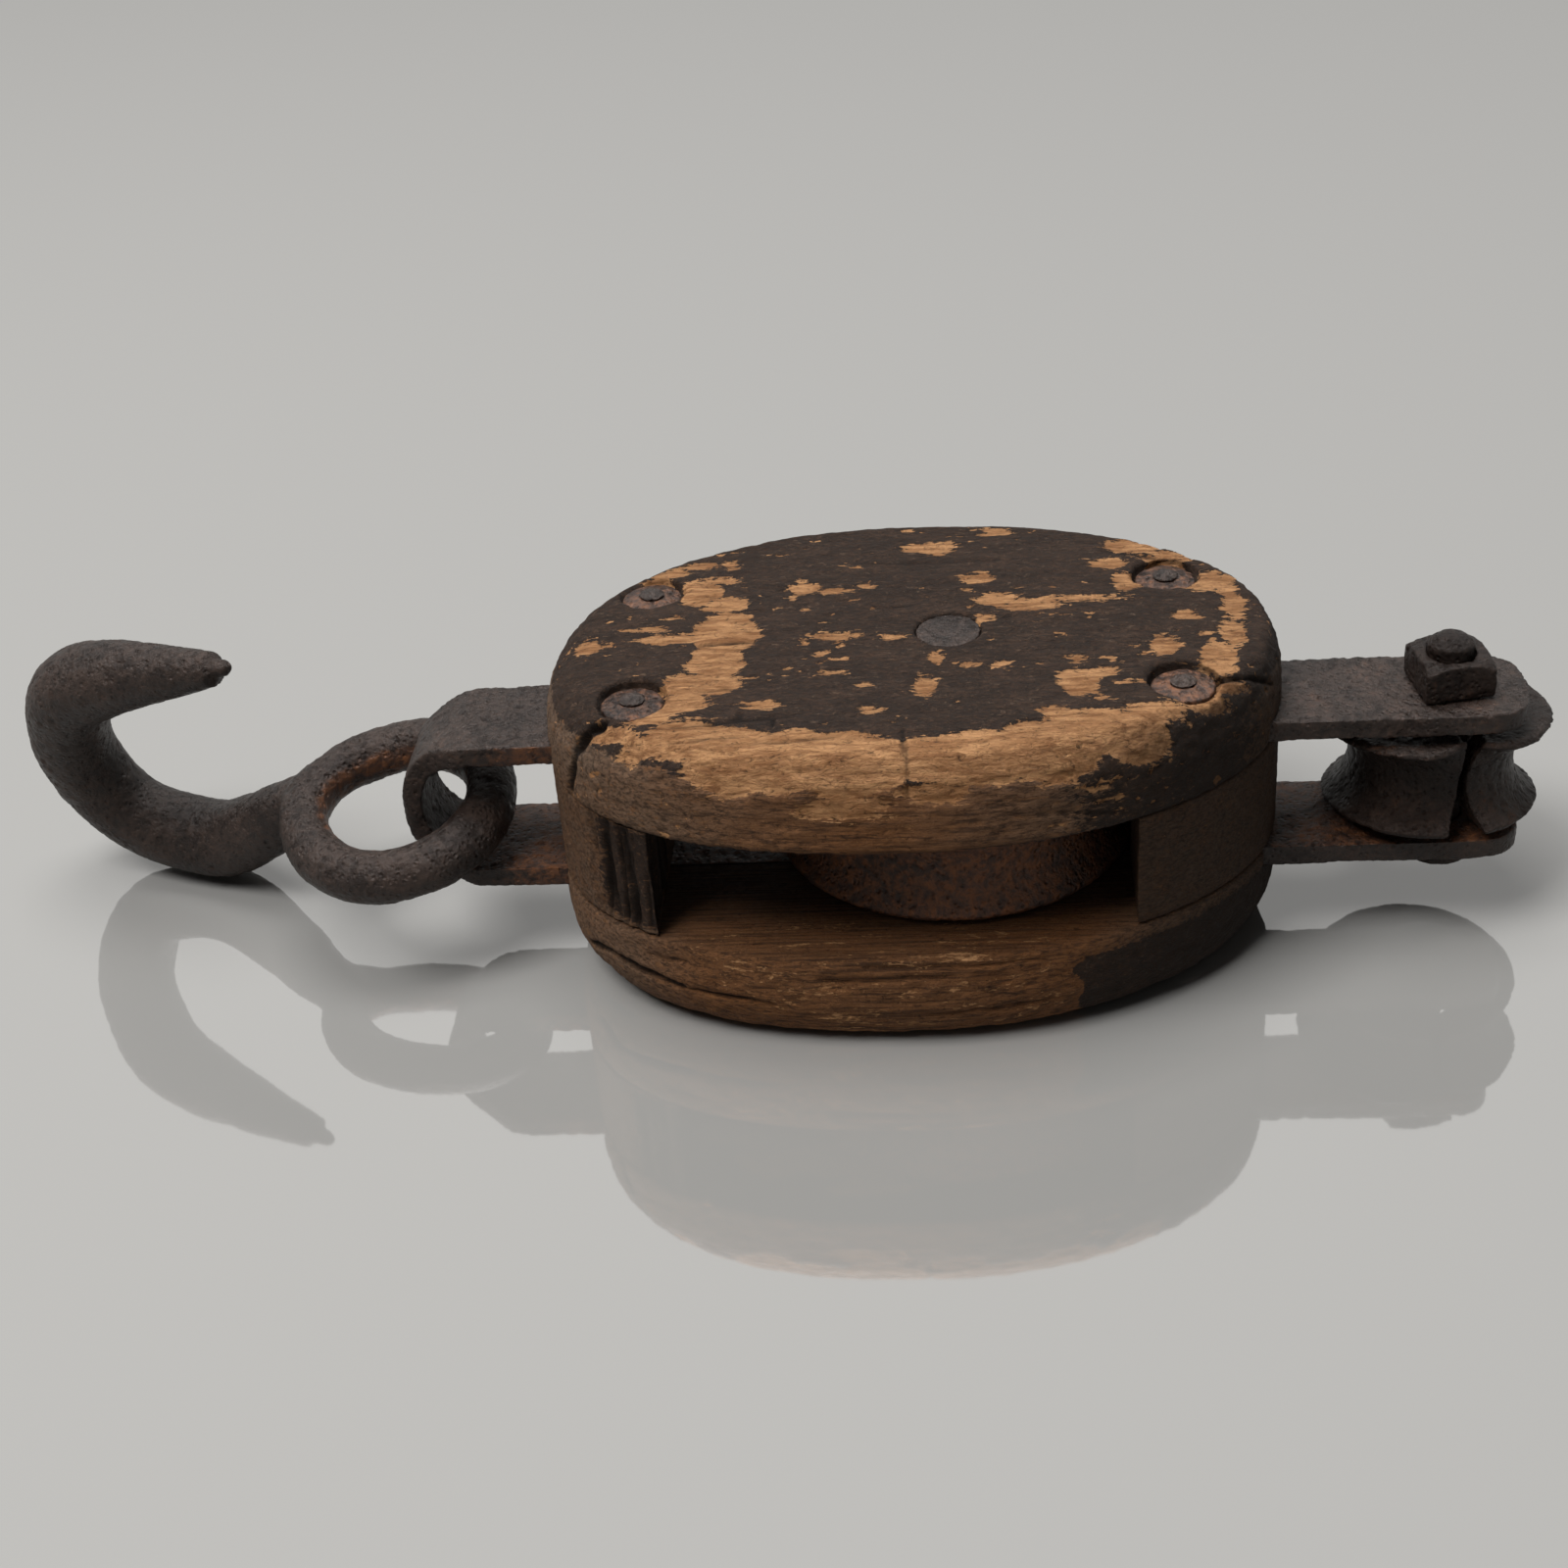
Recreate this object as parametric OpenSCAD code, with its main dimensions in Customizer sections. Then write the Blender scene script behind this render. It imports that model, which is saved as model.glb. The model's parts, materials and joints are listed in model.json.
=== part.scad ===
// Wooden single-sheave pulley block, strapped inside with one bent iron bar,
// with a loose hook at one end and a rope thimble on a bolt at the other.
// It lies on its cheek. X runs along the block towards the thimble, Y across it,
// and Z up from the flat on the lower cheek. All sizes are in millimetres.

/* [Wooden shell] */
// Length of the wooden shell
shell_len = 151.4; // [130:0.2:180]
// Width of the shell at its fullest
shell_wid = 99.4; // [86:0.2:114]
// Thickness of each cheek
cheek_t = 22; // [17:0.5:28]
// Gap between the cheeks, where the rope runs
slot_w = 25.6; // [22:0.2:31]
// How far the middle of the shell lies towards the thimble
shell_shift_x = 0.6; // [-2:0.1:2]
// How far the middle of the shell lies towards the back
shell_shift_y = 1; // [-2:0.1:2]
// Fullness of the outline at the front, hook end
full_hook_front = 2.44; // [1.9:0.01:2.8]
// Fullness of the outline at the back, hook end
full_hook_back = 2.13; // [1.9:0.01:2.8]
// Fullness of the outline at the front, thimble end
full_becket_front = 1.95; // [1.9:0.01:2.8]
// Fullness of the outline at the back, thimble end
full_becket_back = 2.17; // [1.9:0.01:2.8]
// How far down the cheek its rounded edge starts
edge_drop = 12.7; // [8:0.1:15]
// How far the rounded edge draws in along the front
edge_front = 5; // [3:0.1:9]
// How far the rounded edge draws in along the back
edge_back = 2.8; // [2:0.1:9]
// How far the rounded edge draws in at the hook end
edge_hook = 10; // [3:0.1:12]
// How far the upper cheek's rounded edge draws in at the thimble end
edge_becket_upper = 4.4; // [3:0.1:12]
// How far the lower cheek's rounded edge draws in at the thimble end
edge_becket_lower = 10; // [3:0.1:12]
// Rise of the crowned outer face from its edge to its flat
crown_h = 1; // [0.4:0.1:2]
// Share of the outer face that is flat
crown_flat = 0.45; // [0.3:0.01:0.6]

/* [Spacers] */
// Length of the spacer at the swallow, from the hook end of the shell inwards
swallow_len = 23.7; // [20:0.1:26]
// Distance from the swallow spacer's inner face to its rivets
swallow_rivet_in = 2.9; // [2.8:0.1:7]
// Length of the spacer at the breech, from the thimble end of the shell inwards
breech_len = 31.5; // [28:0.1:36]
// Distance from the breech spacer's inner face to its rivets
breech_rivet_in = 9.5; // [7:0.1:13]
// Room between the sheave and the hollow in the breech spacer
breech_gap = 1.6; // [0.8:0.1:3]

/* [Iron strap] */
// Width of the strap's bar
strap_w = 25.4; // [20:0.1:30]
// Thickness of the strap's bar
strap_t = 4.8; // [3:0.1:6.5]
// Distance from the shell's hook end to the centre of the strap's bend
bend_out = 15.9; // [13:0.1:22]
// Distance from the centre of the bend to where the strap starts to narrow
shoulder_out = 2.2; // [0:0.1:5]
// Length of the shoulder that narrows the strap to its crown
shoulder_len = 10; // [7:0.5:12]
// Width of the strap's crown, where the hook's eye hangs on it
crown_w = 16.6; // [12:0.1:18]
// How much further the crown's back side stands out than its front side
crown_back = 2; // [0:0.1:4]
// Rounding of the crown's corners
crown_round = 3; // [1:0.5:5]
// Length of each leg beyond the becket bolt
leg_end = 16; // [14:0.1:22]
// Fullness of each leg's rounded end
leg_fullness = 3; // [2:0.1:4]

/* [Sheave and pin] */
// Distance of the sheave's pin from the middle of the block
pin_x = 8.7; // [6:0.1:11]
// Diameter of the sheave's pin
pin_d = 13.4; // [10:0.1:16]
// Diameter of the sheave over its rims
sheave_d = 76; // [68:0.5:80]
// Room between the sheave and each cheek
sheave_gap = 1.2; // [0.6:0.1:2]
// Depth of the rope groove
groove_h = 4; // [2:0.1:6]
// Width of each rim beside the groove
rim_w = 1.6; // [1:0.1:3]
// Diameter of the sheave's hub
hub_d = 26; // [20:0.5:34]
// Thickness of the web between hub and rim
web_t = 13; // [8:0.5:18]
// Thickness of the sheave's rim ring under the groove
ring_t = 6; // [4:0.5:9]

/* [Rivets and roves] */
// Distance of each rivet from the shell's side at its fullest
rivet_in = 28; // [25:0.1:31]
// Diameter of a rivet's shank
rivet_d = 4.4; // [3:0.1:4.8]
// Diameter of a rivet's head
rivet_head_d = 10; // [8:0.1:13]
// Thickness of a rivet's head
rivet_head_t = 1.8; // [1:0.1:3]
// Diameter of a rove, the dished washer under each peened end
rove_d = 12.7; // [10:0.1:14]
// Thickness of a rove
rove_t = 1.4; // [0.8:0.1:2]
// Rise of a rove's dish from its rim to its middle
rove_dish = 0.8; // [0.3:0.1:1.5]
// Diameter of the peened end
peen_d = 6; // [5.4:0.1:8]
// Height of the peened end above its rove
peen_h = 1.3; // [0.6:0.1:2]
// Depth of the recess round each rove, below the top of the block
recess_h = 3.6; // [2.5:0.1:6]
// Room all round a rove in its recess
recess_gap = 0.7; // [0.4:0.1:2]

/* [Becket bolt and thimble] */
// Distance from the shell's thimble end to the becket bolt
bolt_out = 33.9; // [31:0.1:42]
// Diameter of the becket bolt
bolt_d = 9.5; // [7:0.1:12]
// Diameter of the bolt's round head
bolt_head_d = 16; // [13:0.5:20]
// Height of the side of the bolt's head
bolt_head_h = 4.2; // [2:0.1:6]
// Height of the rounding on the bolt's head
bolt_head_round = 1.6; // [0.5:0.1:3]
// Straight length of the bolt's end above the nut
bolt_end_len = 2; // [0.5:0.1:5]
// Height of the rounding on the bolt's end
bolt_end_round = 2.2; // [1:0.1:4]
// Width of the square nut
nut_w = 14.6; // [13:0.1:19]
// Thickness of the square nut
nut_t = 8.2; // [5:0.1:10]
// Slope of the cone that takes off the nut's upper corners
nut_slope = 30; // [20:5:45]
// Turn of the nut on its bolt
nut_turn = 10; // [0:1:45]
// Diameter of the thimble over its upper flange
thimble_d_upper = 48.6; // [42:0.2:51]
// Diameter of the thimble over its lower flange
thimble_d_lower = 44.8; // [40:0.2:51]
// Diameter of the thimble at its waist
waist_d = 34; // [31:0.5:36]
// Room left over along the bolt beside the thimble
thimble_slack = 5; // [4:0.1:7]
// Lean of the loose thimble, which drops at the back over the edge of the strap
thimble_lean = 5.7; // [0:0.1:7]
// How far the loose thimble lies behind the bolt
thimble_back = 5.6; // [4:0.1:6.2]
// How far the loose thimble lies from the bolt towards the shell
thimble_side = 1.4; // [0:0.1:2.4]
// Room between the bolt and the side of the thimble that hangs on it
thimble_play = 0.9; // [0.8:0.1:1.5]
// Rounding of the thimble's rims
rim_round = 1.5; // [0.8:0.1:2.5]
// Turn of the thimble's split towards the free end
split_turn = 13; // [0:1:40]
// Width of the split where its ends nearly meet
split_gap = 1.2; // [1:0.1:3]
// How far the end towards the free end draws back at both rims
split_back = 3.6; // [0:0.1:6]
// How far the end towards the shell draws back at the lower rim
split_back_lower = 5.8; // [0:0.1:8]

/* [Hook] */
// Diameter of the hook's eye, to the middle of its wire
eye_d = 40.4; // [38:0.2:46]
// Thickness of the eye's wire
eye_wire = 11.6; // [9:0.1:12]
// Distance from the centre of the strap's bend to the centre of the eye
eye_out = 19.6; // [19:0.1:22]
// Height of the eye's centre above the strap's lower leg
eye_up = 7.9; // [6.8:0.1:9.8]
// How far the eye is drawn out to a point at the hook's neck
eye_peak = 3; // [0:0.1:5]
// Turn from the neck round the eye to where the web on its back side starts
web_turn = 40; // [25:1:50]
// Distance from the eye's centre along the neck to where the web ends
web_out = 34; // [27:0.5:36]
// How far the web sinks into the neck at that end
web_drop = 4.5; // [0:0.5:7]
// Thickness of the web
web_wire = 9.4; // [7:0.1:11]
// Distance from the eye's centre to the centre of the hook's bowl
bowl_out = 60; // [57:0.5:66]
// Height of the bowl's centre above the eye's plane
bowl_up = 6; // [6:0.1:10]
// Radius of the bowl, to the middle of its bar
bowl_r = 24; // [21:0.1:25]
// Thickness of the hook in its bowl
bowl_wire = 18; // [14:0.1:19]
// Turn of the hook towards the back in the strap's loop
hook_yaw = 18; // [10:0.5:24]
// Dip of the hook's far end
hook_pitch = 7; // [4:0.1:7.5]
// Roll of the hook, its back side higher
hook_roll = 11.4; // [6:0.1:14]

/* [Fits] */
// Room on each side of a piece let into the wood
let_in = 0.15; // [0.05:0.05:0.4]
// Room round a pin, bolt or rivet in its hole
hole_gap = 0.1; // [0.05:0.01:0.3]
// Running room between the sheave and its pin
run_gap = 0.06; // [0.02:0.01:0.1]
// Room under the thimble and under the lower ends of pins and rivets
rest_gap = 0.3; // [0.1:0.05:0.6]

/* [Hidden] */
$fn = 96;
wood = "#5a4636";
wood_dark = "#43372e";
iron = "#46393a";
rusty = "#5c3f30";
// A length that reaches past any piece
far = 400;
// Levels, from the table up
mid_z = cheek_t + slot_w / 2;
slot_low = cheek_t;
slot_high = cheek_t + slot_w;
top_z = 2 * mid_z;
leg_out = slot_w / 2 + strap_t;
// Points round the shell's outline and along its rounded edge
outline_points = 64;
edge_steps = 5;
crown_steps = 3;
// Ends of the shell, and what is set out from them
hook_end_x = shell_shift_x - shell_len / 2;
becket_end_x = shell_shift_x + shell_len / 2;
swallow_face = hook_end_x + swallow_len;
breech_face = becket_end_x - breech_len;
bend_x = hook_end_x - bend_out;
bolt_x = becket_end_x + bolt_out;
// Sheave and thimble
sheave_t = slot_w - 2 * sheave_gap;
sheave_r = sheave_d / 2;
pin_r = pin_d / 2;
groove_half = sheave_t / 2 - rim_w;
groove_r = (groove_half * groove_half + groove_h * groove_h) / (2 * groove_h);
thimble_len = slot_w - thimble_slack;
waist_r = waist_d / 2;
thimble_half = thimble_len / 2;
bore_r = norm([thimble_side, thimble_back]) + bolt_d / 2 + thimble_play;
bore_flare = 2.6;
flare_len = 5;
// It rests on the back edge of the strap's lower leg
thimble_mid = slot_low + rest_gap + thimble_half / cos(thimble_lean)
    + (strap_w / 2 - thimble_back) * tan(thimble_lean);
// Rivets and roves: the four corners, as signs along X and Y
hook_front = [-1, -1];
hook_back = [-1, 1];
becket_front = [1, -1];
becket_back = [1, 1];
recess_floor = top_z - recess_h;
head_low = rest_gap + crown_h;
rivet_r = rivet_d / 2;
rivet_y = shell_wid / 2 - rivet_in;
// Hook
eye_r = eye_d / 2;
eye_rings = 48;
bar_sides = 20;
bar_rings = 5;
// The hook's bar, from the eye round the bowl to the point: the angle about the
// bowl's centre, the distance from it as a share of the bowl's radius, and the
// bar's thickness as a share of its thickness in the bowl
hook_bar = [
    [-169, 1.633, 0.60], [-158, 1.275, 0.78], [-139, 1.108, 0.88], [-100, 1.025, 1.00], [-48, 1.008, 0.96],
    [1, 0.958, 1.01], [47, 1.008, 1.05], [85, 1.054, 0.94], [131, 1.717, 0.43]
];

// The fullness of the shell's outline in the corner at angle a
function fullness(a) = cos(a) >= 0
    ? (sin(a) >= 0 ? full_becket_back : full_becket_front)
    : (sin(a) >= 0 ? full_hook_back : full_hook_front);

// One point of the outline at angle a, drawn in by share s of the rounded edge,
// whose draw at the thimble end is e, then scaled by k towards the middle
function outline_point(a, s, k, e) =
    let (
        p = 2 / fullness(a),
        hx = shell_len / 2 - s * (cos(a) >= 0 ? e : edge_hook),
        hy = shell_wid / 2 - s * (sin(a) >= 0 ? edge_back : edge_front)
    )
    [
        shell_shift_x + k * hx * sign(cos(a)) * pow(abs(cos(a)), p),
        shell_shift_y + k * hy * sign(sin(a)) * pow(abs(sin(a)), p)
    ];

function outline(s = 0, k = 1, e = 0) =
    [for (i = [0 : outline_points - 1]) outline_point((i + 0.5) * 360 / outline_points, s, k, e)];

function at_height(points, z) = [for (p = points) [p[0], p[1], z]];

// A closed skin over rings of equally many points, each counterclockwise seen from ahead
module skin(rings) {
    n = len(rings[0]);
    last = (len(rings) - 1) * n;
    polyhedron(
        points = [for (r = rings) each r],
        faces = concat(
            [[for (i = [0 : n - 1]) i]],
            [[for (i = [0 : n - 1]) last + n - 1 - i]],
            [for (j = [0 : len(rings) - 2], i = [0 : n - 1])
                let (a = j * n + i, b = j * n + (i + 1) % n)
                [a, a + n, b]],
            [for (j = [0 : len(rings) - 2], i = [0 : n - 1])
                let (a = j * n + i, b = j * n + (i + 1) % n)
                [b, a + n, b + n]]
        )
    );
}

// Half of the block's blank, its inner face on Z = 0: straight sides, an edge
// rounded in a quarter ellipse, and a crowned outer face
module cheek_blank(edge_becket) {
    edge_low = cheek_t - crown_h - edge_drop;
    edge_rings = [for (i = [0 : edge_steps])
        let (a = 90 * i / edge_steps)
        at_height(outline(1 - cos(a), 1, edge_becket), edge_low + edge_drop * sin(a))];
    crown_rings = [for (i = [1 : crown_steps])
        let (t = 1 - i / crown_steps, k = crown_flat + (1 - crown_flat) * t)
        at_height(outline(1, k, edge_becket), cheek_t - crown_h * t * t)];
    intersection() {
        skin(concat(
            [at_height(outline(), -1)],
            edge_rings,
            crown_rings,
            [at_height(outline(1, crown_flat, edge_becket), cheek_t + 1)]
        ));
        translate([-far / 2, -far / 2, 0]) cube([far, far, cheek_t]);
    }
}

// Where the rivet of a corner stands, in the spacer at its end
function rivet_at(corner) = [
    corner[0] < 0 ? swallow_face - swallow_rivet_in : breech_face + breech_rivet_in,
    corner[1] * rivet_y,
    0
];

module at_rivets() {
    for (corner = [hook_front, hook_back, becket_front, becket_back])
        translate(rivet_at(corner)) children();
}

// What both cheeks lose: the groove for the strap and the holes for pin and rivets
module cheek_cuts() {
    translate([-far / 2, -strap_w / 2 - let_in, -1]) cube([far, strap_w + 2 * let_in, strap_t + 1]);
    translate([pin_x, 0, -1]) cylinder(r = pin_r + hole_gap, h = far);
    at_rivets() translate([0, 0, -1]) cylinder(r = rivet_r + hole_gap, h = far);
}

module upper_cheek() {
    color(wood) difference() {
        translate([0, 0, slot_high]) cheek_blank(edge_becket_upper);
        translate([0, 0, slot_high]) cheek_cuts();
        at_rivets() translate([0, 0, recess_floor]) cylinder(r = rove_d / 2 + recess_gap, h = far);
    }
}

module lower_cheek() {
    color(wood) difference() {
        translate([0, 0, slot_low]) mirror([0, 0, 1]) cheek_blank(edge_becket_lower);
        translate([0, 0, slot_low]) mirror([0, 0, 1]) cheek_cuts();
        at_rivets() translate([0, 0, -1]) cylinder(r = rivet_head_d / 2 + let_in, h = 1 + head_low + rivet_head_t);
    }
}

// A block of the shell's outline between the cheeks, bored for the rivets
module spacer_blank() {
    difference() {
        translate([0, 0, slot_low]) linear_extrude(slot_w) polygon(outline());
        at_rivets() cylinder(r = rivet_r + hole_gap, h = far);
    }
}

module swallow_spacer() {
    color(wood_dark) intersection() {
        spacer_blank();
        translate([swallow_face - far, -far / 2, 0]) cube([far, far, far]);
    }
}

module breech_spacer() {
    color(wood_dark) difference() {
        intersection() {
            spacer_blank();
            translate([breech_face, -far / 2, 0]) cube([far, far, far]);
        }
        translate([pin_x, 0, 0]) cylinder(r = sheave_r + breech_gap, h = far);
    }
}

// One side of the strap in plan, whose crown reaches crown_half from the middle:
// a full rounded end beyond the bolt, the full width along the leg, a curved
// shoulder, and a narrow crown with a rounded corner
function strap_edge(crown_half) =
    let (
        apex = bend_x - leg_out,
        leg_half = strap_w / 2,
        end_x = bolt_x + leg_end - leg_half,
        p = 2 / leg_fullness
    )
    concat(
        [for (a = [0 : 7.5 : 90])
            [end_x + leg_half * pow(cos(a), p), leg_half * pow(sin(a), p)]],
        [for (t = [0 : 0.125 : 1])
            [bend_x - shoulder_out - shoulder_len * t,
                leg_half - (leg_half - crown_half) * (1 - cos(180 * t)) / 2]],
        [for (a = [15 : 15 : 90])
            [apex + crown_round * (1 - sin(a)), crown_half - crown_round * (1 - cos(a))]]
    );

module strap_plan() {
    back = strap_edge(crown_w / 2 + crown_back);
    front = strap_edge(crown_w / 2);
    polygon(concat(back, [for (i = [len(front) - 1 : -1 : 1]) [front[i][0], -front[i][1]]]));
}

// The strap from the side, one bar bent to a U
module strap_side() {
    leg_len = bolt_x + leg_end - bend_x;
    difference() {
        union() {
            circle(r = leg_out);
            translate([0, -leg_out]) square([leg_len, 2 * leg_out]);
        }
        circle(r = slot_w / 2);
        translate([0, -slot_w / 2]) square([leg_len + 1, slot_w]);
    }
}

module strap() {
    color(iron) difference() {
        intersection() {
            translate([bend_x, far / 2, mid_z]) rotate([90, 0, 0]) linear_extrude(far) strap_side();
            linear_extrude(far) strap_plan();
        }
        translate([pin_x, 0, 0]) cylinder(r = pin_r + hole_gap, h = far);
        translate([bolt_x, 0, 0]) cylinder(r = bolt_d / 2 + hole_gap, h = far);
    }
}

// Half a section of the sheave: hub, web and rim with a hollow for the rope
module sheave_section() {
    difference() {
        union() {
            translate([pin_r + run_gap, -sheave_t / 2]) square([hub_d / 2 - pin_r - run_gap, sheave_t]);
            translate([pin_r + run_gap, -web_t / 2]) square([sheave_r - groove_h - pin_r - run_gap, web_t]);
            translate([sheave_r - groove_h - ring_t, -sheave_t / 2]) square([groove_h + ring_t, sheave_t]);
        }
        translate([sheave_r - groove_h + groove_r, 0]) circle(r = groove_r);
    }
}

module sheave() {
    color(rusty) translate([pin_x, 0, mid_z]) rotate_extrude() sheave_section();
}

module sheave_pin() {
    color(iron) translate([pin_x, 0, rest_gap]) cylinder(r = pin_r, h = top_z - 2 * rest_gap);
}

// A rivet: its head sunk in the lower cheek, its upper end peened over the rove
module rivet(corner) {
    rove_top = recess_floor + rove_dish + rove_t;
    color(iron) translate(rivet_at(corner)) {
        translate([0, 0, head_low]) cylinder(d = rivet_head_d, h = rivet_head_t);
        translate([0, 0, head_low]) cylinder(r = rivet_r, h = rove_top - head_low);
        translate([0, 0, rove_top]) low_dome(peen_d / 2, peen_h);
    }
}

// A low dome of radius r and height h, its flat on Z = 0
module low_dome(r, h) {
    ball = (r * r + h * h) / (2 * h);
    intersection() {
        translate([0, 0, h - ball]) sphere(r = ball);
        cylinder(r = r, h = h);
    }
}

// A rove: a washer dished up towards its hole
module rove(corner) {
    hole = rivet_r + hole_gap;
    rim = rove_d / 2;
    color(rusty) translate(rivet_at(corner)) translate([0, 0, recess_floor])
        rotate_extrude() polygon([[hole, rove_dish], [rim, 0], [rim, rove_t], [hole, rove_dish + rove_t]]);
}

module becket_bolt() {
    shank = 2 * leg_out + nut_t + bolt_end_len;
    color(iron) translate([bolt_x, 0, mid_z - leg_out]) {
        cylinder(d = bolt_d, h = shank);
        mirror([0, 0, 1]) {
            cylinder(d = bolt_head_d, h = bolt_head_h);
            translate([0, 0, bolt_head_h]) low_dome(bolt_head_d / 2, bolt_head_round);
        }
        translate([0, 0, shank]) low_dome(bolt_d / 2, bolt_end_round);
    }
}

// A square nut, its upper corners taken off by a cone
module becket_nut() {
    color(iron) translate([bolt_x, 0, mid_z + leg_out]) rotate([0, 0, nut_turn]) difference() {
        intersection() {
            translate([-nut_w / 2, -nut_w / 2, 0]) cube([nut_w, nut_w, nut_t]);
            cylinder(r1 = nut_w / 2 + nut_t / tan(nut_slope), r2 = nut_w / 2, h = nut_t);
        }
        translate([0, 0, -1]) cylinder(r = bolt_d / 2 + hole_gap, h = nut_t + 2);
    }
}

// Half a section of one end of the thimble, whose flange has radius r: hollow
// waist outside, rounded rim, flared bore
module thimble_end_section(r) {
    rim_z = thimble_half - rim_round;
    rise = r - waist_r;
    arc = (rim_z * rim_z + rise * rise) / (2 * rise);
    difference() {
        union() {
            translate([bore_r, 0]) square([r - rim_round - bore_r, thimble_half]);
            translate([r - rim_round, rim_z]) circle(r = rim_round);
        }
        translate([waist_r + arc, 0]) circle(r = arc);
        polygon([
            [bore_r - 1, thimble_half - flare_len],
            [bore_r, thimble_half - flare_len],
            [bore_r + bore_flare, thimble_half],
            [bore_r + bore_flare, thimble_half + 1],
            [bore_r - 1, thimble_half + 1]
        ]);
    }
}

// The thimble's split from the front: narrowest at the waist, and open at the
// rims, where its ends draw back in a curve
module thimble_split() {
    half = split_gap / 2;
    reach = thimble_half + 1;
    right = [for (t = [-1 : 0.2 : 1]) [half + split_back * t * t, reach * t]];
    left = [for (t = [1 : -0.2 : -1]) [-half - (t < 0 ? split_back_lower * t * t : 0), reach * t]];
    polygon(concat(right, left));
}

// The thimble: rolled from one strip, its ends nearly meeting at the waist
module becket_thimble() {
    color(iron)
        translate([bolt_x - thimble_side, thimble_back, thimble_mid])
        rotate([-thimble_lean, 0, 0])
        difference() {
            rotate_extrude() {
                thimble_end_section(thimble_d_upper / 2);
                mirror([0, 1]) thimble_end_section(thimble_d_lower / 2);
            }
            rotate([0, 0, split_turn]) rotate([90, 0, 0]) linear_extrude(far) thimble_split();
        }
}

// The eye: a ring of round bar, drawn out to a point towards the neck
function eye_way(a) = eye_r + eye_peak * pow(max(0, -cos(a)), 6);
module eye() {
    n = bar_sides;
    points = [for (j = [0 : eye_rings - 1], i = [0 : n - 1])
        let (
            a = 360 * j / eye_rings,
            b = 360 * i / n,
            away = eye_way(a) + eye_wire / 2 * cos(b)
        )
        [away * cos(a), away * sin(a), -eye_wire / 2 * sin(b)]];
    faces = [for (j = [0 : eye_rings - 1], i = [0 : n - 1], half = [0, 1])
        let (
            a = j * n + i,
            b = j * n + (i + 1) % n,
            c = ((j + 1) % eye_rings) * n + i,
            d = ((j + 1) % eye_rings) * n + (i + 1) % n
        )
        half == 0 ? [a, c, b] : [b, c, d]];
    polyhedron(points = points, faces = faces);
}

// The web that fills the back side of the joint between eye and neck
module web() {
    hull() {
        rotate([0, 0, 180 - web_turn]) translate([eye_r, 0, 0]) sphere(d = web_wire, $fn = 24);
        translate([-web_out, 0, -web_drop]) sphere(d = web_wire, $fn = 24);
    }
}

// The hook's bar in its own plane: distance from the eye's centre, height and radius
function bar_point(k) = [
    -bowl_out - bowl_r * k[1] * cos(k[0]),
    bowl_up + bowl_r * k[1] * sin(k[0]),
    bowl_wire / 2 * k[2]
];
// A smooth curve through four points, at share t of the way from b to c
function smooth(a, b, c, d, t) =
    (2 * b + (c - a) * t + (2 * a - 5 * b + 4 * c - d) * t * t + (3 * b - a - 3 * c + d) * t * t * t) / 2;
function bar_curve() =
    let (p = [for (k = hook_bar) bar_point(k)], n = len(p))
    concat(
        [for (i = [0 : n - 2], j = [0 : bar_rings - 1])
            let (
                a = i == 0 ? 2 * p[0] - p[1] : p[i - 1],
                d = i == n - 2 ? 2 * p[n - 1] - p[n - 2] : p[i + 2]
            )
            smooth(a, p[i], p[i + 1], d, j / bar_rings)],
        [p[n - 1]]
    );
// One ring round the bar at c = [x, z, radius], square to the direction u = [x, z]
function bar_ring(c, u, r) =
    [for (i = [0 : bar_sides - 1])
        let (a = 360 * i / bar_sides)
        [c[0] + u[1] * r * cos(a), r * sin(a), c[1] - u[0] * r * cos(a)]];
function unit(v) = v / norm(v);

module hook() {
    c = bar_curve();
    n = len(c);
    way = [for (i = [0 : n - 1])
        let (a = c[max(i - 1, 0)], b = c[min(i + 1, n - 1)])
        unit([b[0] - a[0], b[1] - a[1]])];
    point = c[n - 1];
    end_rings = [for (a = [25, 50, 75])
        let (
            ahead = point[2] * sin(a) * 0.8,
            middle = [point[0] + way[n - 1][0] * ahead, point[1] + way[n - 1][1] * ahead]
        )
        bar_ring(middle, way[n - 1], point[2] * cos(a))];
    rings = concat([for (i = [0 : n - 1]) bar_ring(c[i], way[i], c[i][2])], end_rings);
    color(iron) translate([bend_x - eye_out, 0, slot_low + eye_up])
        rotate([hook_roll, 0, 0]) rotate([0, -hook_pitch, 0]) rotate([0, 0, -hook_yaw]) {
            eye();
            web();
            skin(rings);
        }
}

upper_cheek();
lower_cheek();
swallow_spacer();
breech_spacer();
strap();
sheave();
sheave_pin();
rivet(hook_front);  // hook_end_front_rivet
rivet(hook_back);  // hook_end_back_rivet
rivet(becket_front);  // becket_end_front_rivet
rivet(becket_back);  // becket_end_back_rivet
rove(hook_front);  // hook_end_front_rove
rove(hook_back);  // hook_end_back_rove
rove(becket_front);  // becket_end_front_rove
rove(becket_back);  // becket_end_back_rove
becket_bolt();
becket_nut();
becket_thimble();
hook();
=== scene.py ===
"""Dresses the frame of a wooden pulley block in weathered wood and forged iron.

Each piece of the frame is remeshed at a fine step, carved with grain, flaked
paint, cracks and pits, and given a procedural material. Sizes are in
millimetres where a name says so, and in metres in Blender itself.
"""
import itertools
import json
import math

import bmesh
import bpy
import numpy as np
from mathutils import Matrix, Vector

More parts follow.
